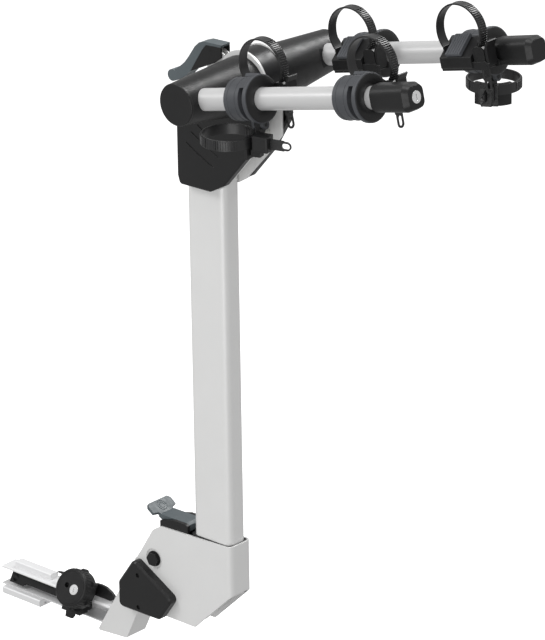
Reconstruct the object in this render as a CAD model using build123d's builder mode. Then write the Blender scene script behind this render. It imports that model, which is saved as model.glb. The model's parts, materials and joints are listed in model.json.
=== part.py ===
from build123d import *
import os
from math import cos, radians, sin

os.makedirs("parts", exist_ok=True)

# Hitch mounted bike rack. Millimetres. The origin is where the hitch pin's axis crosses the
# shank's centre line. +X points away from the vehicle, +Y to the rack's left, +Z up.

# Shank: a square channel, open on the -Y side, packed out to a 2 inch receiver by rails
SHANK = 31.75
SHANK_HALF = SHANK / 2
SHANK_WALL = 3.2
SHANK_START = -25
SHANK_END = 238
RECEIVER_HALF = 25.4
PIN_R = 6.2

# Bracket at the shank's end, and the tilt pivot it carries
BRACKET_HALF = 20
PIVOT_X, PIVOT_Z = 289.5, 74
KEEPER_X, KEEPER_Z = 283, 112
LATCH_X, LATCH_Z = 311, 131
BOLT_R = 6
FIT = 0.05

# Base housing and mast
HOUSING_HALF = 23.5
HOUSING_WALL = 3.2
HOUSING_FRONT = 466.5
HOUSING_BACK = 256
HOUSING_FLOOR = 43
SOCKET_Z = 193.5
MAST_X = 424.5
MAST_LONG = 74
MAST_WIDE = 36.8
MAST_CORNER = 11
MAST_WALL = 3
MAST_BOTTOM = 60
MAST_TOP = 895

# Crossbar and arms
BAR_X, BAR_Z = 505.7, 923.6
BAR_R = 19.05
BAR_HALF = 154
ARM_SPREAD = 128.5
ARM_R = 15.875
ARM_WALL = 2.5
ARM_TILT = 12.88
ARM_END = 372
CAP_START, CAP_END = 353, 419
HEAD_INNER, HEAD_OUTER = 18.4, 22.4
SHIELD_INNER, SHIELD_OUTER = 22.6, 34
SHELL_START, SHELL_END = 22.9, 154
SHELL_BIG_R, SHELL_SMALL_R, SHELL_DROP = 42.5, 30.5, 5.5
DRUM_R = 42

# Cradles: distance along an arm where each one starts
CRADLE_START = {"inner": 92, "outer": 294}
COLLAR_R, FLANGE_R = 30, 34
STRAP_THICK = 2
STRAP_R = 39
STRAP_U, STRAP_W = 24, 38
STRAP_IN, STRAP_OUT = 28.5, 43.5

TILT_COS, TILT_SIN = cos(radians(ARM_TILT)), sin(radians(ARM_TILT))


def side_plane(y):
    """Plane facing -Y at the given y: local x is +X and local y is +Z."""
    return Plane((0, y, 0), x_dir=(1, 0, 0), z_dir=(0, -1, 0))


def arm_point(side, along, up=0):
    """Point on an arm's axis, or square above it."""
    x = BAR_X + along * TILT_COS - up * TILT_SIN
    z = BAR_Z + along * TILT_SIN + up * TILT_COS
    return (x, side * ARM_SPREAD, z)


def arm_section(side, along):
    """Plane square to an arm: local x is +Y, local y is up, and it faces along the arm."""
    return Plane(arm_point(side, along), x_dir=(0, 1, 0), z_dir=(TILT_COS, 0, TILT_SIN))


def arm_profile(side, along, y):
    """Upright plane along an arm at the given y: local x runs along the arm, local y is up."""
    x, _, z = arm_point(side, along)
    return Plane((x, y, z), x_dir=(TILT_COS, 0, TILT_SIN), z_dir=(0, -1, 0))


def slab(plane, outline, radius, thickness, mode=Mode.ADD):
    """Extrude an outline with rounded corners from a plane."""
    with BuildSketch(plane) as profile:
        with BuildLine():
            Polyline(*outline, close=True)
        make_face()
        if radius:
            fillet(vertices(), radius)
    extrude(profile.sketch, amount=thickness, mode=mode)


def disc(plane, radius, thickness, centre=(0, 0), mode=Mode.ADD):
    """Extrude a circle from a plane."""
    with BuildSketch(plane) as profile:
        with Locations(centre):
            Circle(radius)
    extrude(profile.sketch, amount=thickness, mode=mode)


def cross_pin(x, z, radius, y_high, y_low, mode=Mode.ADD):
    """Round bar or hole along Y."""
    disc(side_plane(y_high), radius, y_high - y_low, (x, z), mode)


def finish(piece, name):
    """Label a piece and write its file."""
    piece.part.label = name
    export_step(piece.part, f"parts/{name}.step")


# ---------------------------------------------------------------- shank

# The screws of the top adapter rail go in from inside the channel
RAIL_SCREWS = ((8, 5), (58, 5))
RAIL_SCREW_SEAT = SHANK_HALF - SHANK_WALL
RAIL_SCREW_TIP = RECEIVER_HALF - 3
PIN_HOLE_R = 7.5
PIN_SWING_ROOM = 3.5

with BuildPart() as shank_channel:
    with BuildSketch(Plane.YZ.offset(SHANK_START)):
        Rectangle(SHANK, SHANK)
        fillet(vertices(), 2.5)
        with Locations((-SHANK_WALL, 0)):
            Rectangle(SHANK, SHANK - 2 * SHANK_WALL, mode=Mode.SUBTRACT)
    extrude(amount=SHANK_END - SHANK_START)
    for x in (0, -PIN_SWING_ROOM):
        cross_pin(x, 0, PIN_HOLE_R, SHANK_HALF + 1, SHANK_HALF - SHANK_WALL - 1, Mode.SUBTRACT)
    disc(Plane.XY.offset(-20), 2.55, 40, (115, -8), Mode.SUBTRACT)
    for x, y in RAIL_SCREWS:
        disc(Plane.XY.offset(RAIL_SCREW_SEAT - 1), 2, SHANK_WALL + 2, (x, y), Mode.SUBTRACT)
finish(shank_channel, "shank_channel")

with BuildPart() as adapter_rails:
    slab(Plane.YZ.offset(-5), ((-6, SHANK_HALF), (10, SHANK_HALF), (10, RECEIVER_HALF - 1.5),
         (8.5, RECEIVER_HALF), (-4.5, RECEIVER_HALF), (-6, RECEIVER_HALF - 1.5)), 0, 77)
    for x, y in RAIL_SCREWS:
        disc(Plane.XY.offset(SHANK_HALF - 1), 2, RAIL_SCREW_TIP - SHANK_HALF + 1.2, (x, y),
             Mode.SUBTRACT)
    slab(Plane.YZ.offset(-16), ((0, -SHANK_HALF), (-16.2, -SHANK_HALF), (-16.2, -14),
         (-24, -14), (-RECEIVER_HALF, -15.5), (-RECEIVER_HALF, -24), (-24, -RECEIVER_HALF),
         (0, -RECEIVER_HALF)), 0, 81)
    disc(Plane.YZ.offset(55), 2, 12, (-12.5, -21.5), Mode.SUBTRACT)
finish(adapter_rails, "adapter_rails")

with BuildPart() as adapter_screws:
    for x, y in RAIL_SCREWS:
        disc(Plane.XY.offset(RAIL_SCREW_SEAT - 1.5), 3.6, 1.5, (x, y))
        disc(Plane.XY.offset(RAIL_SCREW_SEAT), 1.9, RAIL_SCREW_TIP - RAIL_SCREW_SEAT, (x, y))
finish(adapter_screws, "adapter_screws")

BRACKET_OUTLINE = (
    (184.5, -27), (221.5, 34.5), (250, 82), (270, 120), (289, 123),
    (303, 95), (307, 70), (290, 52), (268, 24), (246, -22),
)

with BuildPart() as shank_bracket:
    slab(side_plane(BRACKET_HALF), BRACKET_OUTLINE, 3, 2 * BRACKET_HALF)
    slab(side_plane(SHANK_HALF + 0.05), ((150, 150), (320, 150), (320, 84),
         (283, 51), (263, 25), (240, -SHANK_HALF - 0.05), (150, -SHANK_HALF - 0.05)),
         0, SHANK + 0.1, Mode.SUBTRACT)
    slab(side_plane(SHANK_HALF + 0.05), ((150, -50), (150, 0), (225, 0), (225, -50)),
         0, SHANK + 0.1, Mode.SUBTRACT)
    cross_pin(PIVOT_X, PIVOT_Z, 9 + FIT, 30, -30, Mode.SUBTRACT)
    cross_pin(KEEPER_X, KEEPER_Z, 5 + FIT, 30, -30, Mode.SUBTRACT)
finish(shank_bracket, "shank_bracket")

with BuildPart() as pivot_bushes:
    for side in (1, -1):
        low = side * (BRACKET_HALF if side < 0 else SHANK_HALF + 0.1)
        cross_pin(PIVOT_X, PIVOT_Z, 9, low + 4, low)
    cross_pin(PIVOT_X, PIVOT_Z, BOLT_R + FIT, 30, -30, Mode.SUBTRACT)
finish(pivot_bushes, "pivot_bushes")

with BuildPart() as keeper_pin:
    cross_pin(KEEPER_X, KEEPER_Z, 5, BRACKET_HALF, -BRACKET_HALF)
finish(keeper_pin, "keeper_pin")

# The latch arm lies in a plane leaning 30 degrees, as the knob's axis does
LEAN = 30
LEAN_NORMAL = (0, -cos(radians(LEAN)), sin(radians(LEAN)))
ARM_PIVOT_X, ARM_PIVOT_Y = 115, -8

with BuildPart() as latch_arm:
    latch_plane = Plane((0, ARM_PIVOT_Y, 1.5), x_dir=(1, 0, 0), z_dir=LEAN_NORMAL)
    slab(latch_plane.offset(-2), ((-10, -11), (17, -11), (22, -6.5), (112, -6.5), (112, 6.5),
         (22, 6.5), (17, 11), (-10, 11)), 0.8, 4)
    disc(Plane.XY.offset(-5), 5, 12, (ARM_PIVOT_X, ARM_PIVOT_Y))
    disc(Plane.XY.offset(-20), 2.55, 40, (ARM_PIVOT_X, ARM_PIVOT_Y), Mode.SUBTRACT)
    cross_pin(0, 0, 5 + FIT, 10, -30, Mode.SUBTRACT)
finish(latch_arm, "latch_arm")

with BuildPart() as hitch_pin:
    cross_pin(0, 0, 5, 14, -11)
    cross_pin(0, 0, PIN_R, 30, 13)
    chamfer(edges().sort_by(Axis.Y)[-1], 1.2)
finish(hitch_pin, "hitch_pin")

with BuildPart() as latch_pivot_pin:
    disc(Plane.XY.offset(-SHANK_HALF), 2.5, SHANK, (ARM_PIVOT_X, ARM_PIVOT_Y))
finish(latch_pivot_pin, "latch_pivot_pin")

KNOB_X, KNOB_BACK_Y, KNOB_BACK_Z = 148, -18, 26.9
KNOB_R, KNOB_LONG = 30, 25
CORE_X, CORE_Y, CORE_R = 8.2, -1.5, 8
knob_plane = Plane((KNOB_X, KNOB_BACK_Y, KNOB_BACK_Z), x_dir=(1, 0, 0), z_dir=LEAN_NORMAL)

with BuildPart() as knob_housing:
    slab(Plane.YZ.offset(122), ((-16.1, -7), (-31, -7), (-36, -7), (-14, 31), (4, 31),
         (4, 16), (-16.1, 16)), 1.5, 38)
    slab(Plane.YZ.offset(124), ((-16.2, -6), (-16.2, 12.4), (-4, 12.4), (-4, -6)), 0, 34)
    slab(side_plane(4), ((152, 16), (152, 31), (163, 36), (174, 37), (185, 36), (196, 31),
         (203.6, 24), (202, 20), (192, 16)), 1, 4)
    slab(side_plane(4), ((77, 30.6), (91, 33), (125, 30.5), (125, 26), (91, 30)), 0.4, 4)
    slab(Plane.YZ.offset(132), ((-26, -6), (-35, -6), (-37, -15), (-32, -17), (-27, -14)), 1, 12)
    disc(knob_plane.offset(-14), 5 + FIT, 30, mode=Mode.SUBTRACT)
finish(knob_housing, "knob_housing")

with BuildPart() as locking_knob:
    disc(knob_plane, KNOB_R, KNOB_LONG)
    fillet(edges().sort_by(Axis(knob_plane.origin, knob_plane.z_dir))[-1], 3)
    with BuildSketch(knob_plane) as lobes:
        with PolarLocations(KNOB_R - 2, 6, start_angle=30):
            Circle(5)
    extrude(lobes.sketch, amount=9)
    disc(knob_plane.offset(-13), 5, 14)
    disc(knob_plane.offset(KNOB_LONG - 9), CORE_R + FIT, 12, (CORE_X, CORE_Y), Mode.SUBTRACT)
    disc(knob_plane.offset(KNOB_LONG - 6), 4.2, 12, (-CORE_X, -CORE_Y), Mode.SUBTRACT)
finish(locking_knob, "locking_knob")

with BuildPart() as knob_lock_core:
    disc(knob_plane.offset(KNOB_LONG - 9 + FIT), CORE_R, 9.6, (CORE_X, CORE_Y))
    with BuildSketch(knob_plane.offset(KNOB_LONG - 2)) as keyway:
        with Locations((CORE_X, CORE_Y)):
            Rectangle(1.6, 8)
    extrude(keyway.sketch, amount=6, mode=Mode.SUBTRACT)
finish(knob_lock_core, "knob_lock_core")

# ---------------------------------------------------------------- base and mast

HOUSING_OUTLINE = (
    (326, 188), (310, 178), (285, 138), (256, 94), (256, 52), (264, 43), (392, 43),
    (466.5, 115), (466.5, 193.5),
)

with BuildPart() as base_housing:
    with BuildSketch(Plane.XY.offset(HOUSING_FLOOR)) as bent_plate:
        with Locations(((HOUSING_FRONT + HOUSING_BACK) / 2, 0)):
            Rectangle(HOUSING_FRONT - HOUSING_BACK, 2 * HOUSING_HALF)
        fillet(vertices().group_by(Axis.X)[-1], 10)
    extrude(amount=SOCKET_Z - HOUSING_FLOOR)
    with BuildSketch(Plane.XY.offset(HOUSING_FLOOR)) as plate_inside:
        with Locations(((HOUSING_FRONT + HOUSING_BACK) / 2 - HOUSING_WALL, 0)):
            Rectangle(HOUSING_FRONT - HOUSING_BACK, 2 * (HOUSING_HALF - HOUSING_WALL))
        fillet(vertices().group_by(Axis.X)[-1], 10 - HOUSING_WALL)
    extrude(amount=SOCKET_Z - HOUSING_FLOOR, mode=Mode.SUBTRACT)
    with BuildSketch(side_plane(HOUSING_HALF)) as side_view:
        with BuildLine():
            Polyline(*HOUSING_OUTLINE, close=True)
        make_face()
        fillet(side_view.vertices().sort_by(Axis.X)[:6], 3)
    extrude(side_view.sketch, amount=2 * HOUSING_HALF, mode=Mode.INTERSECT)
    cross_pin(PIVOT_X, PIVOT_Z, BOLT_R + FIT, 30, -30, Mode.SUBTRACT)
    cross_pin(LATCH_X, LATCH_Z, BOLT_R + FIT, 30, -30, Mode.SUBTRACT)
    cross_pin(LATCH_X, LATCH_Z, 15.5, -HOUSING_HALF + 1.6, -30, Mode.SUBTRACT)
    cross_pin(LATCH_X, LATCH_Z, 15.5, 30, HOUSING_HALF - 1.6, Mode.SUBTRACT)
    for z in (101.7, 46 + 3):
        cross_pin(PIVOT_X, z, 2 + FIT, 30, -30, Mode.SUBTRACT)
finish(base_housing, "base_housing")

with BuildPart() as mast_sleeve:
    with BuildSketch(Plane.XY.offset(62)) as filler:
        with Locations(((384 + 463.2) / 2, 0)):
            RectangleRounded(463.2 - 384, 40.4, 6.8)
    extrude(filler.sketch, amount=SOCKET_Z - 0.6 - 62)
    with BuildSketch(Plane.XY.offset(62)) as mast_hole:
        with Locations((MAST_X, 0)):
            RectangleRounded(MAST_LONG + 0.1, MAST_WIDE + 0.1, MAST_CORNER)
    extrude(mast_hole.sketch, amount=SOCKET_Z, mode=Mode.SUBTRACT)
    slab(side_plane(30), ((380, 50), (399, 50), (470, 119), (470, 50)), 0, 60, Mode.SUBTRACT)
finish(mast_sleeve, "mast_sleeve")

HEAD_BOLTS = ((424, 782), (424, 862), (512, 838))

with BuildPart() as mast_tube:
    with BuildSketch(Plane.XY.offset(MAST_BOTTOM)):
        with Locations((MAST_X, 0)):
            RectangleRounded(MAST_LONG, MAST_WIDE, MAST_CORNER)
            RectangleRounded(MAST_LONG - 2 * MAST_WALL, MAST_WIDE - 2 * MAST_WALL,
                             MAST_CORNER - MAST_WALL, mode=Mode.SUBTRACT)
    extrude(amount=MAST_TOP - MAST_BOTTOM)
    slab(side_plane(30), ((380, 50), (399, 50), (470, 119), (470, 50)), 0, 60, Mode.SUBTRACT)
    for x, z in HEAD_BOLTS[:2]:
        cross_pin(x, z, 4 + FIT, 30, -30, Mode.SUBTRACT)
finish(mast_tube, "mast_tube")


def bolt(x, z, radius, head_from, head_to, far_end):
    """Hex bolt along Y in the open part: its head is on the -Y side."""
    cross_pin(x, z, radius, far_end, head_from)
    with BuildSketch(side_plane(head_from)) as hexagon:
        with Locations((x, z)):
            RegularPolygon(radius * 1.83, 6)
    extrude(hexagon.sketch, amount=head_from - head_to)


with BuildPart() as base_bolts:
    bolt(PIVOT_X, PIVOT_Z, BOLT_R, -HOUSING_HALF, -HOUSING_HALF - 7.5, HOUSING_HALF + 9)
    bolt(LATCH_X, LATCH_Z, BOLT_R, -HOUSING_HALF + 1.6, -HOUSING_HALF - 5.5, HOUSING_HALF + 6)
    cross_pin(LATCH_X, LATCH_Z, 12, -HOUSING_HALF + 1.6, -HOUSING_HALF)
finish(base_bolts, "base_bolts")

with BuildPart() as bolt_nuts:
    for x, z, y in ((PIVOT_X, PIVOT_Z, HOUSING_HALF), (LATCH_X, LATCH_Z, HOUSING_HALF - 1.6)):
        with BuildSketch(side_plane(y + 6)) as nut:
            with Locations((x, z)):
                RegularPolygon(BOLT_R * 1.83, 6)
                Circle(BOLT_R + FIT, mode=Mode.SUBTRACT)
        extrude(nut.sketch, amount=6)
finish(bolt_nuts, "bolt_nuts")

COVER_OUTLINE = ((247.5, 39), (247.5, 79), (280, 125), (359, 80), (331, 40))
COVER_POCKET = ((253, 43), (253, 78), (281, 117), (351, 78), (328, 45))
COVER_SCREWS = ((PIVOT_X, 101.7), (PIVOT_X, 49))


def pivot_cover(side):
    """Cover over a pivot bolt's end, hollow on the inside, with two recessed screw holes."""
    inner, outer = side * HOUSING_HALF, side * (HOUSING_HALF + 14.5)
    high, low = max(inner, outer), min(inner, outer)
    with BuildPart() as cover:
        slab(side_plane(high), COVER_OUTLINE, 9, high - low)
        rim = cover.edges().group_by(Axis.Y)[0 if side < 0 else -1]
        chamfer(rim, 3)
        pocket = inner + side * 10.5
        slab(side_plane(max(inner, pocket)), COVER_POCKET, 5, 10.5, Mode.SUBTRACT)
        for x, z in COVER_SCREWS:
            cross_pin(x, z, 6, max(inner, pocket + side), min(inner, pocket + side))
            cross_pin(x, z, 2 + FIT, 60, -60, Mode.SUBTRACT)
            cross_pin(x, z, 3.6, max(outer, outer - side * 5), min(outer, outer - side * 5),
                      Mode.SUBTRACT)
    return cover


covers = [pivot_cover(side).part for side in (-1, 1)]

with BuildPart() as pivot_covers:
    add(covers)
finish(pivot_covers, "pivot_covers")

with BuildPart() as cover_screws:
    for side in (-1, 1):
        tip = side * (HOUSING_HALF - 2)
        head = side * (HOUSING_HALF + 9.5)
        for x, z in COVER_SCREWS:
            cross_pin(x, z, 2, max(tip, head), min(tip, head))
            cross_pin(x, z, 3.4, max(head, head + side * 2.4), min(head, head + side * 2.4))
finish(cover_screws, "cover_screws")

with BuildPart() as tilt_latch:
    cross_pin(LATCH_X, LATCH_Z, 11, 6, -6)
    slab(side_plane(6), ((303, 139), (283, 131), (271, 124), (271, 118.2), (290, 118.2),
         (306, 123)), 1.5, 12)
    slab(side_plane(6), ((302, 138), (319, 132), (343, 181), (340, 185.5), (333, 185.5)), 1.5, 12)
    cross_pin(LATCH_X, LATCH_Z, BOLT_R + FIT, 30, -30, Mode.SUBTRACT)
finish(tilt_latch, "tilt_latch")

LEVER_X, LEVER_Z = 364, 195

with BuildPart() as tilt_lever_carrier:
    slab(side_plane(20), ((324, 176), (378, 152), (378, 201), (374, 203.5), (350, 203.5),
         (322, 196), (322, 180)), 1.5, 40)
    slab(side_plane(15), ((310, 140), (367, 140), (367, 183), (392, 183), (392, 220),
         (310, 220)), 0, 30, Mode.SUBTRACT)
    cross_pin(LEVER_X, LEVER_Z, 3 + FIT, 30, -30, Mode.SUBTRACT)
finish(tilt_lever_carrier, "tilt_lever_carrier")

with BuildPart() as tilt_lever:
    slab(side_plane(14.5), ((374, 189), (375, 200), (370, 203.6), (326, 203), (318, 203),
         (314, 198), (320, 195), (334, 190.5)), 1.2, 29)
    with BuildSketch(Plane((318.5, 0, 202.4), x_dir=(-0.829, 0, 0.559), z_dir=(0.559, 0, 0.829))) as pad:
        with BuildLine():
            Polyline((0, -14), (0, 14), (4, 14), (6, 24), (19, 24), (24, 20), (24, -20),
                     (19, -24), (6, -24), (4, -14), close=True)
        make_face()
        fillet(vertices(), 1)
    extrude(pad.sketch, amount=-5)
    cross_pin(LEVER_X, LEVER_Z, 3 + FIT, 30, -30, Mode.SUBTRACT)
finish(tilt_lever, "tilt_lever")


# ---------------------------------------------------------------- head

HEAD_OUTLINE = (
    (395, 750), (457, 750), (472, 759), (512, 804), (541, 839), (541, 900), (505.7, 923.6),
    (470, 905), (455, 893), (395, 893),
)

with BuildPart() as head_plates:
    for side in (-1, 1):
        high = max(side * HEAD_INNER, side * HEAD_OUTER)
        slab(side_plane(high), HEAD_OUTLINE, 0, HEAD_OUTER - HEAD_INNER)
        cross_pin(BAR_X, BAR_Z, 44, high, high - HEAD_OUTER + HEAD_INNER)
    cross_pin(BAR_X, BAR_Z, BAR_R + FIT, 30, -30, Mode.SUBTRACT)
    for x, z in HEAD_BOLTS:
        cross_pin(x, z, 4 + FIT, 30, -30, Mode.SUBTRACT)
finish(head_plates, "head_plates")

with BuildPart() as head_bolts:
    for x, z in HEAD_BOLTS:
        bolt(x, z, 4, -HEAD_OUTER, -HEAD_OUTER - 5, HEAD_OUTER)
        with BuildSketch(side_plane(HEAD_OUTER + 5)) as nut:
            with Locations((x, z)):
                RegularPolygon(7.3, 6)
        extrude(nut.sketch, amount=5)
finish(head_bolts, "head_bolts")

with BuildPart() as head_spacer:
    cross_pin(HEAD_BOLTS[2][0], HEAD_BOLTS[2][1], 9, HEAD_INNER, -HEAD_INNER)
    cross_pin(HEAD_BOLTS[2][0], HEAD_BOLTS[2][1], 4 + FIT, 30, -30, Mode.SUBTRACT)
finish(head_spacer, "head_spacer")

SHIELD_OUTLINE = (
    (387, 893), (387, 760), (391, 747), (450, 748), (477, 763), (521, 814), (551, 864),
    (551, 893),
)
SHIELD_POCKET = (
    (391, 889), (391, 760), (395, 751), (449, 752), (474, 766), (517, 816), (547, 866),
    (547, 889),
)
SHIELD_GROOVES = ((440.5, 838.5, 28), (442, 818, 60), (431.5, 800.5, 59))


def head_shield(side):
    """Plastic cover on one side of the head, hollow inside, cut clear of the crossbar."""
    inner, outer = side * SHIELD_INNER, side * SHIELD_OUTER
    high, low = max(inner, outer), min(inner, outer)
    with BuildPart() as shield:
        slab(side_plane(high), SHIELD_OUTLINE, 6, high - low)
        rim = shield.edges().group_by(Axis.Y)[0 if side < 0 else -1]
        fillet(rim, 2.5)
        floor = outer - side * 3
        slab(side_plane(max(inner, floor)), SHIELD_POCKET, 4, abs(floor - inner), Mode.SUBTRACT)
        with BuildSketch(side_plane(max(outer, outer - side * 1.2))) as grooves:
            for x, z, length in SHIELD_GROOVES:
                with Locations(Location((x, z), -27)):
                    Ellipse(length / 2, 2.2)
        extrude(grooves.sketch, amount=1.2, mode=Mode.SUBTRACT)
        cross_pin(BAR_X, BAR_Z, 49, 60, -60, Mode.SUBTRACT)
    return shield


for side, label in ((-1, "near"), (1, "far")):
    finish(head_shield(side), f"head_shield_{label}")

YOKE_X, YOKE_Z = 434.7, 949.2

with BuildPart() as release_bracket:
    with BuildSketch(Plane.XY.offset(MAST_TOP)) as foot:
        with Locations((MAST_X, 0)):
            RectangleRounded(66, 32, 7)
    extrude(foot.sketch, amount=3)
    for y in (6.5, -3.5):
        slab(side_plane(y), ((424, 896), (424, 950), (430, 955.5), (438, 955.5), (457, 947),
             (457, 896)), 0, 3)
    cross_pin(YOKE_X, YOKE_Z, 3 + FIT, 30, -30, Mode.SUBTRACT)
finish(release_bracket, "release_bracket")

with BuildPart() as lever_pins:
    cross_pin(LEVER_X, LEVER_Z, 3, 20, -20)
    cross_pin(YOKE_X, YOKE_Z, 3, 9.4, -9.4)
finish(lever_pins, "lever_pins")

with BuildPart() as release_lever:
    slab(side_plane(9.6), ((453.5, 961.4), (422, 960.4), (411, 956.5), (403, 949), (391, 932),
         (383, 922), (375, 915), (363, 906), (360, 888.5), (371, 893), (384, 901), (394, 911),
         (406, 929.6), (418, 948), (425, 955.8), (453.5, 957.6)), 0.8, 19.2)
    cross_pin(358, 897, 8.6, 9.6, -9.6)
finish(release_lever, "release_lever")

with BuildPart() as release_cheeks:
    for y in (9.5, -6.9):
        slab(side_plane(y), ((394.6, 911), (418, 947.7), (425, 955.5), (453.5, 957.4),
             (453.5, 942), (440, 932)), 0, 2.6)
    cross_pin(YOKE_X, YOKE_Z, 3 + FIT, 30, -30, Mode.SUBTRACT)
finish(release_cheeks, "release_cheeks")

with BuildPart() as release_hook:
    slab(side_plane(3.2), ((426, 955), (441, 955), (462.6, 921), (462.4, 911), (457, 907),
         (428, 940)), 1, 6.4)
    cross_pin(YOKE_X, YOKE_Z, 3 + FIT, 30, -30, Mode.SUBTRACT)
finish(release_hook, "release_hook")

# ---------------------------------------------------------------- crossbar and arms

with BuildPart() as crossbar_tube:
    cross_pin(BAR_X, BAR_Z, BAR_R, BAR_HALF, -BAR_HALF)
    cross_pin(BAR_X, BAR_Z, BAR_R - 3, BAR_HALF, -BAR_HALF, Mode.SUBTRACT)
finish(crossbar_tube, "crossbar_tube")

with BuildPart() as index_drum:
    cross_pin(BAR_X, BAR_Z, DRUM_R, 17.9, -17.9)
    cross_pin(BAR_X, BAR_Z, BAR_R + FIT, 30, -30, Mode.SUBTRACT)
    with BuildSketch(side_plane(30)) as notches:
        with Locations((BAR_X, BAR_Z)):
            for angle in (195, 298):
                with Locations(Location((DRUM_R * cos(radians(angle)), DRUM_R * sin(radians(angle))),
                                        angle)):
                    Rectangle(16, 11)
    extrude(notches.sketch, amount=60, mode=Mode.SUBTRACT)
finish(index_drum, "index_drum")


def crossbar_shell(side):
    """Tapering cover round half of the crossbar, with a flat where the arm comes out."""
    with BuildPart() as shell:
        for y, radius, drop in ((SHELL_START, SHELL_BIG_R, SHELL_DROP), (SHELL_END, SHELL_SMALL_R, 0)):
            with BuildSketch(side_plane(side * y)):
                with Locations((BAR_X, BAR_Z - drop)):
                    Circle(radius)
        loft()
        disc(arm_section(side, 31), 24, 40, mode=Mode.SUBTRACT)
        cross_pin(BAR_X, BAR_Z, BAR_R + FIT, 200, -200, Mode.SUBTRACT)
        disc(arm_section(side, 0), ARM_R + FIT, 60, mode=Mode.SUBTRACT)
    return shell


for side, label in ((-1, "near"), (1, "far")):
    finish(crossbar_shell(side), f"crossbar_shell_{label}")

with BuildPart() as crossbar_caps:
    for side in (-1, 1):
        outer = side * (BAR_HALF + 4.5)
        high, low = max(side * BAR_HALF, outer), min(side * BAR_HALF, outer)
        cross_pin(BAR_X, BAR_Z, SHELL_SMALL_R, high, low)
        plug = (side * (BAR_HALF - 6), side * (BAR_HALF + 1))
        cross_pin(BAR_X, BAR_Z, BAR_R - 3.1, max(plug), min(plug))
    for part_end in (0, -1):
        fillet(crossbar_caps.edges().group_by(Axis.Y)[part_end], 1.6)
finish(crossbar_caps, "crossbar_caps")

with BuildPart() as arm_tubes:
    for side in (-1, 1):
        disc(arm_section(side, 0), ARM_R, ARM_END)
        disc(arm_section(side, 0), ARM_R - ARM_WALL, ARM_END, mode=Mode.SUBTRACT)
    cross_pin(BAR_X, BAR_Z, BAR_R + FIT, 200, -200, Mode.SUBTRACT)
finish(arm_tubes, "arm_tubes")


def arm_cap(side):
    """Cap over an arm's end. The near one holds the lock."""
    with BuildPart() as cap:
        for along, wide, tall, corner in ((CAP_START, 38, 38, 14), (CAP_END - 9, 38, 38, 11),
                                          (CAP_END, 30, 31, 9)):
            with BuildSketch(arm_section(side, along)):
                RectangleRounded(wide, tall, corner)
        loft(ruled=True)
        disc(arm_section(side, CAP_START), ARM_R + FIT, ARM_END - CAP_START + 1, mode=Mode.SUBTRACT)
        if side < 0:
            disc(arm_section(side, CAP_END - 10), CORE_R + 0.5 + FIT, 12, mode=Mode.SUBTRACT)
    return cap


caps = [arm_cap(side).part for side in (-1, 1)]

with BuildPart() as arm_caps:
    add(caps)
finish(arm_caps, "arm_caps")

with BuildPart() as arm_lock_core:
    disc(arm_section(-1, CAP_END - 10 + FIT), CORE_R + 0.5, 10.6)
    with BuildSketch(arm_section(-1, CAP_END - 2)) as keyway:
        Rectangle(1.6, 9)
    extrude(keyway.sketch, amount=6, mode=Mode.SUBTRACT)
finish(arm_lock_core, "arm_lock_core")

# ---------------------------------------------------------------- cradles

BLOCK_OUTLINE = ((12, -16), (46, -16), (50, -11), (50, 3), (18, 27), (12, 27))
BLOCK_LOW = ((22.4, -16), (48, -16), (48, -4), (22.4, -4))
PAD_OUTLINE = ((49.5, 4.2), (19.5, 26.7), (22.8, 31.1), (52.8, 8.6))


def inward(side, points):
    """Turn (distance inward, height) pairs into an arm section's own coordinates."""
    return [(-side * across, up) for across, up in points]


def inner_y(side, distance):
    """Y of a plane a given distance inward from an arm's axis."""
    return side * (ARM_SPREAD - distance)


def inner_slab(side, start, outline, near_in, far_in, mode=Mode.ADD, radius=0):
    """Extrude an outline of (along, up) pairs between two distances inward from an arm."""
    ys = (inner_y(side, near_in), inner_y(side, far_in))
    slab(arm_profile(side, start, max(ys)), outline, radius, max(ys) - min(ys), mode)


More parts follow.
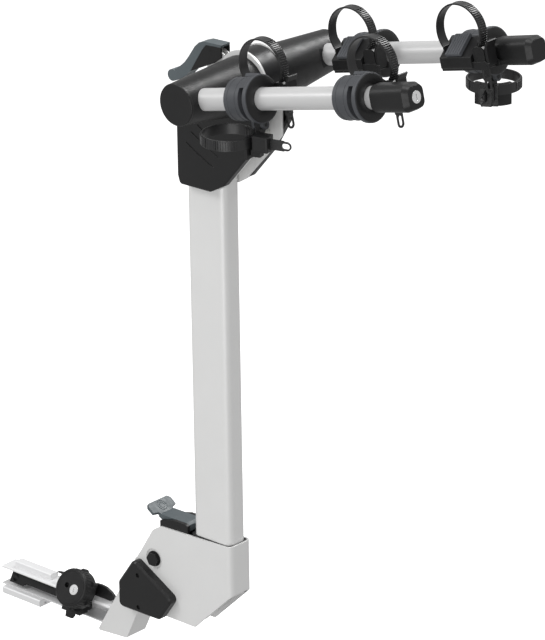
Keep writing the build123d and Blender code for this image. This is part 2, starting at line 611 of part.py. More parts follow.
def cradle_body(side, start, caged):
    """Collar that turns on an arm, its flange, and the saddle block with the buckle housing."""
    with BuildPart() as body:
        disc(arm_section(side, start), COLLAR_R, 39)
        disc(arm_section(side, start + 39), FLANGE_R, 7)
        fillet(body.edges().filter_by(GeomType.CIRCLE), 1.5)
        slab(arm_section(side, start - 12), inward(side, BLOCK_OUTLINE), 2, 56)
        slab(arm_section(side, start - 12), inward(side, BLOCK_LOW), 1, 76)
        inner_slab(side, start, ((46, -15), (66, -15), (66, 13), (63, 16), (49, 16), (46, 13)),
                   26, 46, radius=1)
        for low, high in ((24, 26.5), (45.5, 48)):
            inner_slab(side, start, ((58, -15), (73, -15), (73, -7), (66, -4), (58, -4)), low, high)
        if caged:
            for along in (start + 23, start + 39.2):
                disc(arm_section(side, along), 6.5, 4.8, (0, -36))
                slab(arm_section(side, along), ((-6.5, -36), (6.5, -36), (6.5, -20), (-6.5, -20)),
                     0, 4.8)
        slab(arm_section(side, start + 28), ((side * 60, -60), (side * 60, 21), (0, 21),
             (-side * 11.5, 21), (-side * 11.5, -60)), 0, 11, Mode.SUBTRACT)
        if caged:
            disc(arm_section(side, start + 20), 2 + FIT + 1, 30, (0, -36), Mode.SUBTRACT)
        disc(arm_section(side, start - 20), ARM_R + 0.3, 120, mode=Mode.SUBTRACT)
        inner_slab(side, start, ((-9.3, -3), (-5.7, -3), (-5.7, 40), (-9.3, 40)), 28, 44,
                   Mode.SUBTRACT)
        inner_slab(side, start, ((54, -30), (57.6, -30), (57.6, 30), (54, 30)), 28, 44,
                   Mode.SUBTRACT)
        inner_slab(side, start, ((66, -11.5), (71, -11.5), (71, -7), (66, -7)), 26.5, 45.5,
                   Mode.SUBTRACT)
        pin_plane = arm_profile(side, start, 200)
        disc(pin_plane, 1.8 + FIT, 400, (69, -9.5), Mode.SUBTRACT)
    return body


def strap_profile(side, start):
    """Ladder strap: a ring over the saddle, a foot in the block and a tail through the buckle."""
    with BuildPart() as strap:
        ys = (inner_y(side, STRAP_IN), inner_y(side, STRAP_OUT))
        plane = arm_profile(side, start, max(ys))
        with BuildSketch(plane) as ring:
            with Locations((STRAP_U, STRAP_W)):
                Circle(STRAP_R)
                Circle(STRAP_R - STRAP_THICK, mode=Mode.SUBTRACT)
            with BuildLine():
                Polyline((STRAP_U, STRAP_W), (STRAP_U - 66, STRAP_W - 44), (STRAP_U, -40),
                         (STRAP_U + 62, STRAP_W - 40), close=True)
            make_face(mode=Mode.SUBTRACT)
            with Locations((-7.5, 8), (55.8, -8)):
                Rectangle(STRAP_THICK, 20)
            with Locations((55.8, -6)):
                Rectangle(STRAP_THICK, 50)
        extrude(ring.sketch, amount=STRAP_OUT - STRAP_IN)
        mid = inner_y(side, (STRAP_IN + STRAP_OUT) / 2)
        tail = Plane(arm_point(side, start + 54.8, -38), x_dir=(0, 1, 0),
                     z_dir=(TILT_COS, 0, TILT_SIN))
        across = mid - side * ARM_SPREAD
        with BuildSketch(tail) as eyelet:
            with Locations((across, 0)):
                SlotOverall(26, 12, rotation=90)
        extrude(eyelet.sketch, amount=STRAP_THICK)
        with BuildSketch(tail) as eye_hole:
            with Locations((across, -3)):
                SlotOverall(14, 7, rotation=90)
        extrude(eye_hole.sketch, amount=STRAP_THICK, mode=Mode.SUBTRACT)
    return strap


def cradle_pad(side, start):
    """Soft pad on the saddle's slope, with ribs that run up the slope."""
    with BuildPart() as pad:
        slab(arm_section(side, start + 1), inward(side, PAD_OUTLINE), 1.2, 26)
        for groove in (5, 9.5, 14, 18.5, 23):
            slab(arm_section(side, start + groove), inward(side, ((53.4, 9.4), (23.4, 31.9),
                 (22.5, 30.7), (52.5, 8.2))), 0, 1.2, Mode.SUBTRACT)
    return pad


def buckle_paddle(side, start):
    """Release paddle on the buckle, with its hinge pin."""
    with BuildPart() as paddle:
        inner_slab(side, start, ((67, -11.4), (71, -11.4), (71.4, 16), (76, 23), (74, 24.4),
                   (68.4, 18), (67, 12)), 26.8, 45.2, radius=0.5)
        pin_from, pin_to = inner_y(side, 24.2), inner_y(side, 47.8)
        disc(arm_profile(side, start, max(pin_from, pin_to)), 1.8, abs(pin_to - pin_from), (69, -9.5))
    return paddle


for side, side_label in ((-1, "near"), (1, "far")):
    for place, start in CRADLE_START.items():
        label = f"{side_label}_{place}"
        caged = label in ("near_inner", "far_outer")
        finish(cradle_body(side, start, caged), f"cradle_body_{label}")
        finish(cradle_pad(side, start), f"cradle_pad_{label}")
        finish(strap_profile(side, start), f"cradle_strap_{label}")
        finish(buckle_paddle(side, start), f"buckle_paddle_{label}")

# ---------------------------------------------------------------- anti-sway cages

CAGE_R = 38
SADDLE_DROP, SADDLE_HIGH = 24, 32
CAGE_ALONG = 33.6
CAGE_REACH = 44
CAGES = {
    "near_inner": (-1, 92, 222, 15, 18),
    "far_outer": (1, 294, 127, -61, 22),
}


def cage_frame(side, start, heading, drop):
    """Eye point of a cage, and the centre and level of its ring."""
    eye = arm_point(side, start + CAGE_ALONG, -36)
    centre_x = eye[0] + CAGE_REACH * cos(radians(heading))
    centre_y = eye[1] + CAGE_REACH * sin(radians(heading))
    return eye, centre_x, centre_y, eye[2] - drop


def cage_body(side, start, heading, tongue, drop):
    """Cage hanging from a cradle: an eye and pin, a neck, a curved saddle and a buckle."""
    eye, centre_x, centre_y, level = cage_frame(side, start, heading, drop)
    with BuildPart() as cage:
        disc(arm_section(side, start + 28.5), 6.5, 10.2, (0, -36))
        disc(arm_section(side, start + 22.8), 3, 21.4, (0, -36))
        with BuildSketch(Plane((eye[0], eye[1], eye[2] - 12), z_dir=(0, 0, 1))) as upper_neck:
            Rectangle(6.4, 12)
        extrude(upper_neck.sketch, amount=12)
        turn = Plane((eye[0], eye[1], level - 20), x_dir=(cos(radians(heading)),
                     sin(radians(heading)), 0), z_dir=(0, 0, 1))
        with BuildSketch(turn) as neck:
            with Locations((-1, 0)):
                Rectangle(7, 16)
        extrude(neck.sketch, amount=drop + 8.2)
        with BuildSketch(turn.offset(7)) as bridge:
            with Locations((4, 0)):
                Rectangle(18, 16)
        extrude(bridge.sketch, amount=4)
        with BuildSketch(Plane((centre_x, centre_y, level - SADDLE_DROP), z_dir=(0, 0, 1))) as saddle:
            Circle(CAGE_R - STRAP_THICK - 0.4)
            Circle(CAGE_R - STRAP_THICK - 5, mode=Mode.SUBTRACT)
            back = radians(heading + 180)
            with BuildLine():
                Polyline((0, 0), (90 * cos(back - 0.8), 90 * sin(back - 0.8)),
                         (130 * cos(back), 130 * sin(back)),
                         (90 * cos(back + 0.8), 90 * sin(back + 0.8)), close=True)
            make_face(mode=Mode.INTERSECT)
        extrude(saddle.sketch, amount=SADDLE_HIGH)
        buckle = Plane((centre_x, centre_y, level - 11), x_dir=(cos(radians(tongue)),
                       sin(radians(tongue)), 0), z_dir=(0, 0, 1))
        with BuildSketch(buckle) as housing:
            with Locations((52, 0)):
                Rectangle(24, 20)
            fillet(vertices(), 2)
        extrude(housing.sketch, amount=22)
        with BuildSketch(buckle.offset(-9)) as strut:
            with Locations((44, 0)):
                Rectangle(14, 12)
        extrude(strut.sketch, amount=10)
        with BuildSketch(Plane((centre_x, centre_y, level - 20), z_dir=(0, 0, 1))) as hoop:
            Circle(CAGE_R + 6.5)
            Circle(CAGE_R + 0.5, mode=Mode.SUBTRACT)
            first, last = sorted((heading + 180, tongue + 360 if tongue < 0 else tongue))
            if last - first > 180:
                first, last = last, first + 360
            middle = radians((first + last) / 2)
            half = radians((last - first) / 2) + 0.1
            with BuildLine():
                Polyline((0, 0), (90 * cos(middle - half), 90 * sin(middle - half)),
                         (130 * cos(middle), 130 * sin(middle)),
                         (90 * cos(middle + half), 90 * sin(middle + half)), close=True)
            make_face(mode=Mode.INTERSECT)
        extrude(hoop.sketch, amount=10)
        slot = Plane((centre_x, centre_y, level - 8), x_dir=(cos(radians(tongue)),
                     sin(radians(tongue)), 0), z_dir=(0, 0, 1))
        with BuildSketch(slot) as tongue_slot:
            with Locations((55, 0)):
                Rectangle(40, STRAP_THICK + 1)
        extrude(tongue_slot.sketch, amount=16, mode=Mode.SUBTRACT)
        with BuildSketch(slot) as ring_room:
            Circle(CAGE_R + 0.4)
            Circle(CAGE_R - STRAP_THICK - 0.4, mode=Mode.SUBTRACT)
        extrude(ring_room.sketch, amount=16, mode=Mode.SUBTRACT)
    return cage


def cage_strap(side, start, heading, tongue, drop):
    """Level ladder strap round a bike's seat tube, with a tongue through the buckle."""
    _, centre_x, centre_y, level = cage_frame(side, start, heading, drop)
    with BuildPart() as strap:
        base = Plane((centre_x, centre_y, level - 7.5), x_dir=(cos(radians(tongue)),
                     sin(radians(tongue)), 0), z_dir=(0, 0, 1))
        with BuildSketch(base) as ring:
            Circle(CAGE_R)
            with Locations((60, 0)):
                Rectangle(50, STRAP_THICK)
            Circle(CAGE_R - STRAP_THICK, mode=Mode.SUBTRACT)
        extrude(ring.sketch, amount=15)
        face = Plane(base.origin + base.x_dir * 85 + base.y_dir * (STRAP_THICK / 2)
                     + Vector(0, 0, 7.5), x_dir=base.x_dir, z_dir=base.y_dir)
        with BuildSketch(face) as eyelet:
            SlotOverall(22, 13)
        extrude(eyelet.sketch, amount=-STRAP_THICK)
        with BuildSketch(face) as eye_hole:
            with Locations((3, 0)):
                SlotOverall(12, 8)
        extrude(eye_hole.sketch, amount=-STRAP_THICK, mode=Mode.SUBTRACT)
    return strap


for label, cage_place in CAGES.items():
    finish(cage_body(*cage_place), f"cage_body_{label}")
    finish(cage_strap(*cage_place), f"cage_strap_{label}")
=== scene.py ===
import json
from math import cos, pi, radians, sin

import bmesh
import bpy
from mathutils import Matrix, Vector


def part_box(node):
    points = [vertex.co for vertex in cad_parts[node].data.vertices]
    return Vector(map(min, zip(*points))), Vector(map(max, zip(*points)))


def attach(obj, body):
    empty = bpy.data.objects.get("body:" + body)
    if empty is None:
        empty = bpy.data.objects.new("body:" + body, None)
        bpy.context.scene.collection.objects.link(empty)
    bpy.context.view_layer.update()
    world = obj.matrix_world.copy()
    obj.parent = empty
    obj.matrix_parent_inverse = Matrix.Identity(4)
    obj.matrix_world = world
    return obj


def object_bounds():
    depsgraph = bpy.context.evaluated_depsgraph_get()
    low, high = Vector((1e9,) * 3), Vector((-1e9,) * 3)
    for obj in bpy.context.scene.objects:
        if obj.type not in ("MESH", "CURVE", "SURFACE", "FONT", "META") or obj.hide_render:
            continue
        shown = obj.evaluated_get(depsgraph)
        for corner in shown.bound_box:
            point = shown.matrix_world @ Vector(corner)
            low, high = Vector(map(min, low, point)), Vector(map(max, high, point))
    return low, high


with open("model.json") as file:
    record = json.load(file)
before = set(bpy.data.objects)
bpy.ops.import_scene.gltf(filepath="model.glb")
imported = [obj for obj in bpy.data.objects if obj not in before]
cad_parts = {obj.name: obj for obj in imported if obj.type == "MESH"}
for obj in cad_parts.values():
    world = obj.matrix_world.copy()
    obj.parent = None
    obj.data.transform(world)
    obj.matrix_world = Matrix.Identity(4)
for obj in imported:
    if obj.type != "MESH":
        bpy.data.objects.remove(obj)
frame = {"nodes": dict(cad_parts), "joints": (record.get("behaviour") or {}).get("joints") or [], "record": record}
CAD_LOW, CAD_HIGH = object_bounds()
NODES = frame["nodes"]
RECORD = frame["record"]
JOINTS = {joint["name"]: joint for joint in frame["joints"]}
MM = 0.001

# ------------------------------------------------------------ camera, floor and light

VIEW_AZIMUTH, VIEW_ELEVATION, VIEW_ROLL = 42.38, 21.79, -0.83
VIEW_DISTANCE = 6.4129
VIEW_RIGHT, VIEW_UP = 0.0775, 0.3182
LENS, SENSOR = 244.85, 36.0
FAR_CLIP = 100

# Each light's name, place from the object's centre, side length and power.
LIGHTS = (
    ("key", (-1.7, -2.3, 2.4), 1.3, 50),
    ("rim", (0.3, 2.3, 2.6), 1.1, 62),
    ("top", (0.2, -0.2, 3.0), 1.6, 34),
    ("fill", (1.3, -2.8, 0.1), 2.2, 38),
)
WHITE = (1, 1, 1, 1)
SURROUNDINGS_STRENGTH = 0.5
FLOOR_SIZE, FLOOR_DROP = 40, 0.45
FLOOR_GLOW = 0.55


def view_axes():
    """Right, up and backward directions of the camera."""
    turn, rise, roll = radians(VIEW_AZIMUTH), radians(VIEW_ELEVATION), radians(VIEW_ROLL)
    right = Vector((cos(turn), sin(turn), 0))
    back = Vector((sin(turn) * cos(rise), -cos(turn) * cos(rise), sin(rise)))
    up = back.cross(right)
    rolled_right = right * cos(roll) + up * sin(roll)
    rolled_up = up * cos(roll) - right * sin(roll)
    return rolled_right, rolled_up, back


def make_camera():
    """Camera placed from the point where the mast enters its base."""
    right, up, back = view_axes()
    mast_low, mast_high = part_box("mast_tube")
    socket = Vector(((mast_low.x + mast_high.x) / 2, 0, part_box("base_housing")[1].z))
    place = socket + right * VIEW_RIGHT + up * VIEW_UP + back * VIEW_DISTANCE
    data = bpy.data.cameras.new("camera")
    data.lens = LENS
    data.sensor_width = SENSOR
    data.clip_end = FAR_CLIP
    camera = bpy.data.objects.new("camera", data)
    turn = Matrix((right, up, back)).transposed().to_4x4()
    camera.matrix_world = Matrix.Translation(place) @ turn
    bpy.context.scene.collection.objects.link(camera)
    bpy.context.scene.camera = camera


def area_light(name, place, aim, size, power):
    """Soft square light."""
    data = bpy.data.lights.new(name, "AREA")
    data.shape = "SQUARE"
    data.size = size
    data.energy = power
    light = bpy.data.objects.new(name, data)
    light.location = place
    light.rotation_euler = (aim - place).to_track_quat("-Z", "Y").to_euler()
    bpy.context.scene.collection.objects.link(light)


def make_studio():
    """Pale floor, even white surroundings and four soft lights."""
    centre = (CAD_LOW + CAD_HIGH) / 2
    for name, offset, size, power in LIGHTS:
        area_light(name, centre + Vector(offset), centre, size, power)
    world = bpy.data.worlds.new("surroundings")
    world.use_nodes = True
    background = world.node_tree.nodes["Background"]
    background.inputs["Color"].default_value = WHITE
    background.inputs["Strength"].default_value = SURROUNDINGS_STRENGTH
    bpy.context.scene.world = world
    bpy.context.scene.view_settings.view_transform = "Standard"
    floor_place = (centre.x, 0, CAD_LOW.z - FLOOR_DROP)
    bpy.ops.mesh.primitive_plane_add(size=FLOOR_SIZE, location=floor_place)
    floor = bpy.context.object
    floor.name = "floor"
    pale = make_material("pale_floor", colour=(0.92, 0.92, 0.92), rough=0.9, grain=40, bump=0.0,
                         vary=0.004)
    glow = pale.node_tree.nodes["Principled BSDF"]
    glow.inputs["Emission Color"].default_value = WHITE
    glow.inputs["Emission Strength"].default_value = FLOOR_GLOW
    floor.data.materials.append(pale)
    floor.visible_diffuse = False
    floor.visible_glossy = False


# ------------------------------------------------------------ materials

MOTTLE_SCALE, MOTTLE_DETAIL = 22, 3
GLOSS_SCALE, GLOSS_DETAIL = 90, 3
GRAIN_DETAIL = 4
NOISE_LOW, NOISE_HIGH = 0.3, 0.7
RELIEF_DEPTH = 0.0004
COAT_ROUGHNESS = 0.2
BEVEL_SAMPLES = 4

# How each record slot looks. vary is the depth of the mottling, spread that of the uneven gloss,
# grain the scale of the fine bump, and soften the radius of the softened edges in metres.
LOOKS = {
    "silver_paint": dict(colour=(0.71, 0.71, 0.705), rough=0.36, metallic=0.15, grain=1400,
                         bump=0.08, vary=0.02, soften=0.0009, coat=0.12, spread=0.04),
    "arm_silver": dict(colour=(0.56, 0.56, 0.56), rough=0.3, metallic=0.25, grain=1600,
                       bump=0.015, vary=0.01, soften=0.0004, spread=0.015),
    "bare_alloy": dict(colour=(0.76, 0.76, 0.765), rough=0.34, metallic=0.2, grain=700,
                       bump=0.08, vary=0.02, soften=0.0005, brushed=(0.05, 1, 1), spread=0.04),
    "black_plastic": dict(colour=(0.0105, 0.0105, 0.0108), rough=0.38, grain=1800,
                          bump=0.2, vary=0.12, soften=0.0009, shine=0.32),
    "black_metal": dict(colour=(0.010, 0.010, 0.0105), rough=0.36, grain=1500,
                        bump=0.12, vary=0.12, soften=0.0006, shine=0.3),
    "grey_plastic": dict(colour=(0.052, 0.055, 0.061), rough=0.48, grain=1600,
                         bump=0.2, vary=0.08, soften=0.0008, shine=0.4),
    "lever_grey": dict(colour=(0.085, 0.102, 0.110), rough=0.42, grain=1500,
                       bump=0.12, vary=0.05, soften=0.0009, shine=0.4),
    "soft_grey": dict(colour=(0.074, 0.078, 0.086), rough=0.6, grain=1300,
                      bump=0.3, vary=0.10, soften=0.0006, shine=0.3),
    "strap_black": dict(colour=(0.012, 0.012, 0.0125), rough=0.34, grain=1500,
                        bump=0.12, vary=0.12, soften=0.0004, shine=0.55),
    "lock_steel": dict(colour=(0.9, 0.9, 0.9), rough=0.25, metallic=0.7, grain=500,
                       bump=0.04, vary=0.02, soften=0.0003),
    "zinc": dict(colour=(0.6, 0.6, 0.58), rough=0.34, metallic=0.9, grain=800,
                 bump=0.1, vary=0.06, soften=0.0003),
}


def make_material(name, colour, rough, grain, bump, vary, metallic=0.0, soften=0.0, coat=0.0,
                  brushed=(1, 1, 1), spread=0.06, shine=0.5):
    """Layered surface: mottled colour, uneven gloss and a fine bump, with softened edges."""
    material = bpy.data.materials.new(name)
    material.use_nodes = True
    tree = material.node_tree
    shader = tree.nodes["Principled BSDF"]
    shader.inputs["Metallic"].default_value = metallic
    shader.inputs["Coat Weight"].default_value = coat
    shader.inputs["Coat Roughness"].default_value = COAT_ROUGHNESS
    shader.inputs["Specular IOR Level"].default_value = shine
    place = tree.nodes.new("ShaderNodeTexCoord")
    stretch = tree.nodes.new("ShaderNodeMapping")
    stretch.inputs["Scale"].default_value = brushed
    tree.links.new(place.outputs["Object"], stretch.inputs["Vector"])

    def noise(scale, detail):
        node = tree.nodes.new("ShaderNodeTexNoise")
        node.inputs["Scale"].default_value = scale
        node.inputs["Detail"].default_value = detail
        tree.links.new(stretch.outputs["Vector"], node.inputs["Vector"])
        return node

    def ramp(source, low, high, socket):
        node = tree.nodes.new("ShaderNodeMapRange")
        node.inputs["From Min"].default_value = NOISE_LOW
        node.inputs["From Max"].default_value = NOISE_HIGH
        node.inputs["To Min"].default_value = low
        node.inputs["To Max"].default_value = high
        tree.links.new(source.outputs["Fac"], node.inputs["Value"])
        tree.links.new(node.outputs["Result"], socket)

    # The colour varies half with the broad noise and half with the fine one.
    broad = noise(MOTTLE_SCALE, MOTTLE_DETAIL)
    fine = noise(grain, GRAIN_DETAIL)
    tint = tree.nodes.new("ShaderNodeMix")
    tint.data_type = "RGBA"
    darker = [channel * (1 - vary) for channel in colour]
    lighter = [min(1, channel * (1 + vary)) for channel in colour]
    tint.inputs["A"].default_value = (*darker, 1)
    tint.inputs["B"].default_value = (*lighter, 1)
    both = tree.nodes.new("ShaderNodeMath")
    both.operation = "MULTIPLY_ADD"
    both.inputs[1].default_value = 0.5
    ramp(broad, 0, 0.5, both.inputs[2])
    tree.links.new(fine.outputs["Fac"], both.inputs[0])
    tree.links.new(both.outputs["Value"], tint.inputs["Factor"])
    tree.links.new(tint.outputs["Result"], shader.inputs["Base Color"])
    gloss = noise(GLOSS_SCALE, GLOSS_DETAIL)
    ramp(gloss, rough - spread, rough + spread, shader.inputs["Roughness"])
    relief = tree.nodes.new("ShaderNodeBump")
    relief.inputs["Strength"].default_value = bump
    relief.inputs["Distance"].default_value = RELIEF_DEPTH
    tree.links.new(fine.outputs["Fac"], relief.inputs["Height"])
    if soften:
        edge = tree.nodes.new("ShaderNodeBevel")
        edge.samples = BEVEL_SAMPLES
        edge.inputs["Radius"].default_value = soften
        tree.links.new(edge.outputs["Normal"], relief.inputs["Normal"])
    tree.links.new(relief.outputs["Normal"], shader.inputs["Normal"])
    return material


MATERIALS = {slot: make_material(slot, **look) for slot, look in LOOKS.items()}
DARK_FASTENERS = ("lever_pins", "cover_screws", "hitch_pin")
BLOCK_FROM = 22 * MM


def dress_nodes():
    """Give each CAD node its slot's material, with dark fasteners and cradle blocks."""
    for part in RECORD["subparts"]:
        data = NODES[part["node"]].data
        data.materials.clear()
        data.materials.append(MATERIALS[part["material_slot"]])
    for node in DARK_FASTENERS:
        NODES[node].data.materials[0] = MATERIALS["black_metal"]
    for place in PLACES:
        darken_block(place)


def darken_block(place):
    """Black on the faces of a cradle's block and buckle, which lie inward of its grey collar."""
    node = NODES[f"cradle_body_{place}"]
    start = cradle_axes(place)[0]
    inward = Vector((0, -1 if start.y > 0 else 1, 0))
    node.data.materials.append(MATERIALS["black_plastic"])
    for face in node.data.polygons:
        if (node.matrix_world @ face.center - start).dot(inward) > BLOCK_FROM:
            face.material_index = 1


# ------------------------------------------------------------ mesh helpers

SHARP_ANGLE = 40
BLOCK_SINK, BLOCK_SHOULDER, BLOCK_TAPER = 0.4, 0.55, 0.72
BEAD_SIDES = 10


def new_piece(name, mesh, body, slot, smooth=True):
    """Put a bmesh into the scene as a piece that rides on a body."""
    data = bpy.data.meshes.new(name)
    bmesh.ops.recalc_face_normals(mesh, faces=mesh.faces)
    mesh.to_mesh(data)
    mesh.free()
    piece = bpy.data.objects.new(name, data)
    bpy.context.scene.collection.objects.link(piece)
    data.materials.append(MATERIALS[slot])
    if smooth:
        for face in data.polygons:
            face.use_smooth = True
        data.set_sharp_from_angle(angle=radians(SHARP_ANGLE))
    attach(piece, body)


def add_block(mesh, centre, along, across, out, size):
    """Small block with chamfered outer edges, sunk a little: size is along, across and out."""
    half_along, half_across, tall = size[0] / 2, size[1] / 2, size[2]
    levels = ((-BLOCK_SINK * tall, 1.0), (BLOCK_SHOULDER * tall, 1.0), (tall, BLOCK_TAPER))
    rings = []
    for level, scale in levels:
        ring = []
        for a, b in ((-1, -1), (1, -1), (1, 1), (-1, 1)):
            point = (centre + along * (a * half_along * scale)
                     + across * (b * (half_across - (1 - scale) * half_along)) + out * level)
            ring.append(mesh.verts.new(point))
        rings.append(ring)
    mesh.faces.new(rings[0])
    mesh.faces.new(rings[-1])
    for lower, upper in zip(rings, rings[1:]):
        for i in range(4):
            mesh.faces.new((lower[i], lower[(i + 1) % 4], upper[(i + 1) % 4], upper[i]))


def add_lathe(mesh, centre, axis, profile, steps=72, first=0.0, last=2 * pi, start_dir=None):
    """Turn a closed (radius, along) profile about an axis, all the way round or over an arc."""
    axis = axis.normalized()
    across = (start_dir or axis.orthogonal()).normalized()
    other = axis.cross(across)
    whole = abs(last - first - 2 * pi) < 1e-6
    count = steps if whole else steps + 1
    rings = []
    for i in range(count):
        angle = first + (last - first) * i / steps
        out = across * cos(angle) + other * sin(angle)
        rings.append([mesh.verts.new(centre + out * r + axis * a) for r, a in profile])
    pairs = list(zip(rings, rings[1:] + ([rings[0]] if whole else [])))
    n = len(profile)
    for one, two in pairs:
        for j in range(n):
            mesh.faces.new((one[j], one[(j + 1) % n], two[(j + 1) % n], two[j]))
    if not whole:
        mesh.faces.new(rings[0])
        mesh.faces.new(rings[-1])


def bead(radius, along, size):
    """Round profile for a raised ring."""
    turns = [2 * pi * i / BEAD_SIDES for i in range(BEAD_SIDES)]
    return [(radius + size * cos(turn), along + size * sin(turn)) for turn in turns]


# ------------------------------------------------------------ straps and cradles

PLACES = ("near_inner", "near_outer", "far_inner", "far_outer")

# The strap's ring is centred this far along the arm and above it. Its angles, in degrees, start at
# the arm's direction and go up. A rung's size is along the strap, across it and outward.
STRAP_ALONG, STRAP_RISE = 24 * MM, 38 * MM
STRAP_R, STRAP_WIDE = 39 * MM, 15 * MM
RUNGS, FIRST_RUNG, LAST_RUNG = 20, -30, 60
RUNG_SIZE = (1.7 * MM, 13.4 * MM, 1.3 * MM)

# The raised edges run further round the ring than the rungs. Their angles go down from the arm's
# direction.
EDGE_STEPS, EDGE_FIRST, EDGE_LAST = 80, -212, 30
EDGE_INSET, EDGE_HALF = 0.65 * MM, 0.6 * MM
EDGE_SINK, EDGE_SIDE, EDGE_TOP = 0.3 * MM, 0.3 * MM, 0.45 * MM

# The tail's rungs start below the arm's axis and go down. Start and step are in millimetres.
TAIL_ALONG = 56.8 * MM
TAIL_RUNGS, TAIL_START, TAIL_STEP = 6, -17.5, 2.2
TAIL_RUNG_SIZE = (1.1 * MM, 9.5 * MM, 0.7 * MM)

# The collar's rings and the flange's face, by how far they are along the arm from the cradle's start.
COLLAR_R, COLLAR_BEAD = 29.9 * MM, 0.7 * MM
COLLAR_RINGS = (7 * MM, 21 * MM)
FLANGE_AT, FLANGE_INNER, FLANGE_OUTER = 46 * MM, 16.6 * MM, 32.3 * MM
FLANGE_SINK, FLANGE_RIM, FLANGE_TOP, FLANGE_SLOPE = 0.4 * MM, 0.5 * MM, 1.1 * MM, 0.8 * MM


def cradle_axes(place):
    """A cradle's start point on its arm, with the arm's own along and up directions."""
    joint = JOINTS[f"cradle_{place}_turn"]
    along = Vector(joint["axis"])
    return Vector(joint["pos_m"]), along, Vector((-along.z, 0, along.x))


def strap_details(place):
    """Rungs over the strap's outer face, raised edges, and rungs down the tail."""
    start, along, up = cradle_axes(place)
    low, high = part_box(f"cradle_strap_{place}")
    across = Vector((0, 1, 0))
    middle = (low.y + high.y) / 2
    centre = start + along * STRAP_ALONG + up * STRAP_RISE
    centre.y = middle
    mesh = bmesh.new()
    for i in range(RUNGS):
        angle = radians(FIRST_RUNG + (LAST_RUNG - FIRST_RUNG) * i / (RUNGS - 1))
        out = along * cos(angle) + up * sin(angle)
        tangent = up * cos(angle) - along * sin(angle)
        add_block(mesh, centre + out * STRAP_R, tangent, across, out, RUNG_SIZE)
    tail = start + along * TAIL_ALONG
    tail.y = middle
    for i in range(TAIL_RUNGS):
        rung = tail + up * ((TAIL_START - TAIL_STEP * i) * MM)
        add_block(mesh, rung, up, across, along, TAIL_RUNG_SIZE)
    new_piece(f"strap_rungs_{place}", mesh, f"cradle_{place}", "strap_black", False)
    mesh = bmesh.new()
    first, last = radians(EDGE_FIRST), radians(EDGE_LAST)
    edge = STRAP_WIDE / 2
    for offset in (-edge + EDGE_INSET, edge - EDGE_INSET):
        profile = [
            (STRAP_R - EDGE_SINK, offset - EDGE_HALF),
            (STRAP_R + EDGE_SIDE, offset - EDGE_HALF),
            (STRAP_R + EDGE_TOP, offset),
            (STRAP_R + EDGE_SIDE, offset + EDGE_HALF),
            (STRAP_R - EDGE_SINK, offset + EDGE_HALF),
        ]
        add_lathe(mesh, centre, across, profile, EDGE_STEPS, first, last, along)
    new_piece(f"strap_edges_{place}", mesh, f"cradle_{place}", "strap_black")


def collar_details(place):
    """Raised rings round the collar and a dark face on the flange."""
    start, along, _ = cradle_axes(place)
    body = f"cradle_{place}"
    mesh = bmesh.new()
    for offset in COLLAR_RINGS:
        add_lathe(mesh, start, along, bead(COLLAR_R, offset, COLLAR_BEAD))
    new_piece(f"collar_rings_{place}", mesh, body, "grey_plastic")
    mesh = bmesh.new()
    profile = [
        (FLANGE_INNER, FLANGE_AT - FLANGE_SINK),
        (FLANGE_OUTER, FLANGE_AT - FLANGE_SINK),
        (FLANGE_OUTER, FLANGE_AT + FLANGE_RIM),
        (FLANGE_OUTER - FLANGE_SLOPE, FLANGE_AT + FLANGE_TOP),
        (FLANGE_INNER + FLANGE_SLOPE, FLANGE_AT + FLANGE_TOP),
        (FLANGE_INNER, FLANGE_AT + FLANGE_RIM),
    ]
    add_lathe(mesh, start, along, profile)
    new_piece(f"flange_face_{place}", mesh, body, "black_plastic")


# ------------------------------------------------------------ anti-sway cages

CAGE_PLACES = ("near_inner", "far_outer")
CAGE_R, CAGE_RUNGS = 38 * MM, 66
CAGE_RUNG_WIDE, CAGE_RUNG_HIGH, CAGE_RUNG_TALL = 1.8 * MM, 13 * MM, 1.2 * MM
LEAST_RUNG_TALL = 0.2 * MM
NECK_COSINE = 0.55
TONGUE_ANGLE = 0.5

# The saddle's heights are from the middle of the strap, and the ribs' angles, in degrees, from the neck.
SADDLE_R, SADDLE_LOW, SADDLE_HIGH = 31.5 * MM, -23 * MM, 7 * MM
RIBS, FIRST_RIB, RIB_STEP = 7, -39, 13
RIB_WIDE, RIB_TALL = 2.4 * MM, 1.2 * MM


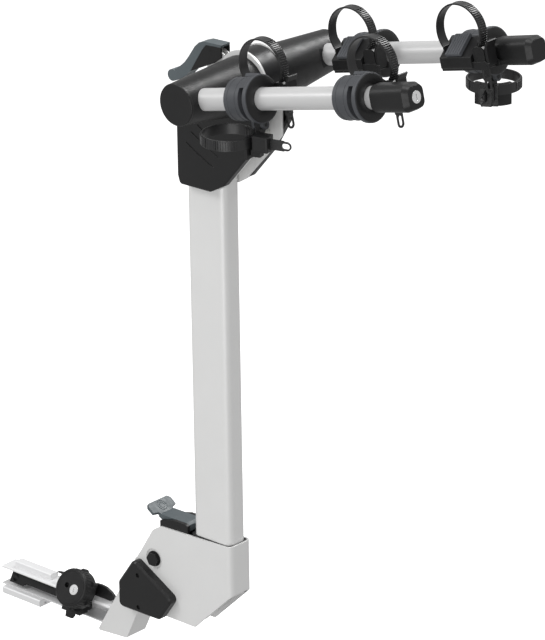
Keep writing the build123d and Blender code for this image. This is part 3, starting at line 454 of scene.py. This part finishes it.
def cage_details(place):
    """Rungs round the level strap, and upright ribs on the cage's curved saddle."""
    opening = next(o for o in RECORD["physics"]["openings"] if o["name"] == f"cage_loop_{place}")
    low, high = (Vector(corner) for corner in opening["box_m"])
    strap_low, strap_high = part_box(f"cage_strap_{place}")
    centre = (low + high) / 2
    centre.z = (strap_low.z + strap_high.z) / 2
    up = Vector((0, 0, 1))
    neck = Vector(JOINTS[f"cage_{place}_swing"]["pos_m"]) - centre
    neck.z = 0
    neck.normalize()
    tongue = (strap_low + strap_high) / 2 - centre
    mesh = bmesh.new()
    for i in range(CAGE_RUNGS):
        angle = 2 * pi * i / CAGE_RUNGS
        out = Vector((cos(angle), sin(angle), 0))
        # No rungs at the neck, or where the strap's tongue leaves the ring.
        if out.dot(neck) > NECK_COSINE or out.angle(tongue) < TONGUE_ANGLE:
            continue
        # The rungs get lower towards the ring's two sides, so that they don't widen it there.
        tall = min(CAGE_RUNG_TALL, CAGE_R / max(abs(out.y), 0.5) - CAGE_R)
        if tall > LEAST_RUNG_TALL:
            size = (CAGE_RUNG_WIDE, CAGE_RUNG_HIGH, tall)
            add_block(mesh, centre + out * CAGE_R, up.cross(out), up, out, size)
    new_piece(f"cage_rungs_{place}", mesh, f"cage_{place}", "strap_black", False)
    mesh = bmesh.new()
    side = up.cross(neck)
    for i in range(RIBS):
        angle = radians(FIRST_RIB + RIB_STEP * i)
        out = neck * cos(angle) + side * sin(angle)
        middle = centre + out * SADDLE_R
        middle.z += (SADDLE_LOW + SADDLE_HIGH) / 2
        size = (RIB_WIDE, SADDLE_HIGH - SADDLE_LOW, RIB_TALL)
        add_block(mesh, middle, up.cross(out), up, -out, size)
    new_piece(f"cage_ribs_{place}", mesh, f"cage_{place}", "strap_black")


# ------------------------------------------------------------ knob and lever

KNOB_FACE_R, KNOB_FACE_AT, KNOB_FACE_BEAD = 25.5 * MM, 25 * MM, 0.5 * MM
GRIP_RIDGES, GRIP_AT, GRIP_R = 36, 15.5 * MM, 30 * MM
GRIP_SIZE = (1.8 * MM, 11 * MM, 0.6 * MM)

# The radius of each ring on the lever's pad, and of the bead that forms it.
PAD_RINGS = ((8 * MM, 0.55 * MM), (4.6 * MM, 0.4 * MM))
PAD_CENTRE = Vector((307.7, 0, 209.7)) * MM
PAD_NORMAL = Vector((0.559, 0, 0.829))


def knob_details():
    """Raised ring on the knob's face and grip ridges round its rim."""
    joint = JOINTS["knob_turn"]
    axis = Vector(joint["axis"])
    back = Vector(joint["pos_m"])
    mesh = bmesh.new()
    add_lathe(mesh, back, axis, bead(KNOB_FACE_R, KNOB_FACE_AT, KNOB_FACE_BEAD))
    new_piece("knob_face_ring", mesh, "knob", "black_plastic")
    mesh = bmesh.new()
    across = axis.orthogonal().normalized()
    other = axis.cross(across)
    for i in range(GRIP_RIDGES):
        angle = 2 * pi * i / GRIP_RIDGES
        out = across * cos(angle) + other * sin(angle)
        tangent = other * cos(angle) - across * sin(angle)
        add_block(mesh, back + axis * GRIP_AT + out * GRIP_R, tangent, axis, out, GRIP_SIZE)
    new_piece("knob_grip", mesh, "knob", "black_plastic", False)


def lever_details():
    """Two raised rings on the tilt lever's pad."""
    mesh = bmesh.new()
    for radius, size in PAD_RINGS:
        add_lathe(mesh, PAD_CENTRE, PAD_NORMAL, bead(radius, 0, size))
    new_piece("tilt_pad_rings", mesh, "tilt_handle", "lever_grey")


def build():
    """Camera, dressed nodes, detailed pieces and studio."""
    make_camera()
    dress_nodes()
    for place in PLACES:
        strap_details(place)
        collar_details(place)
    for place in CAGE_PLACES:
        cage_details(place)
    knob_details()
    lever_details()
    make_studio()


build()
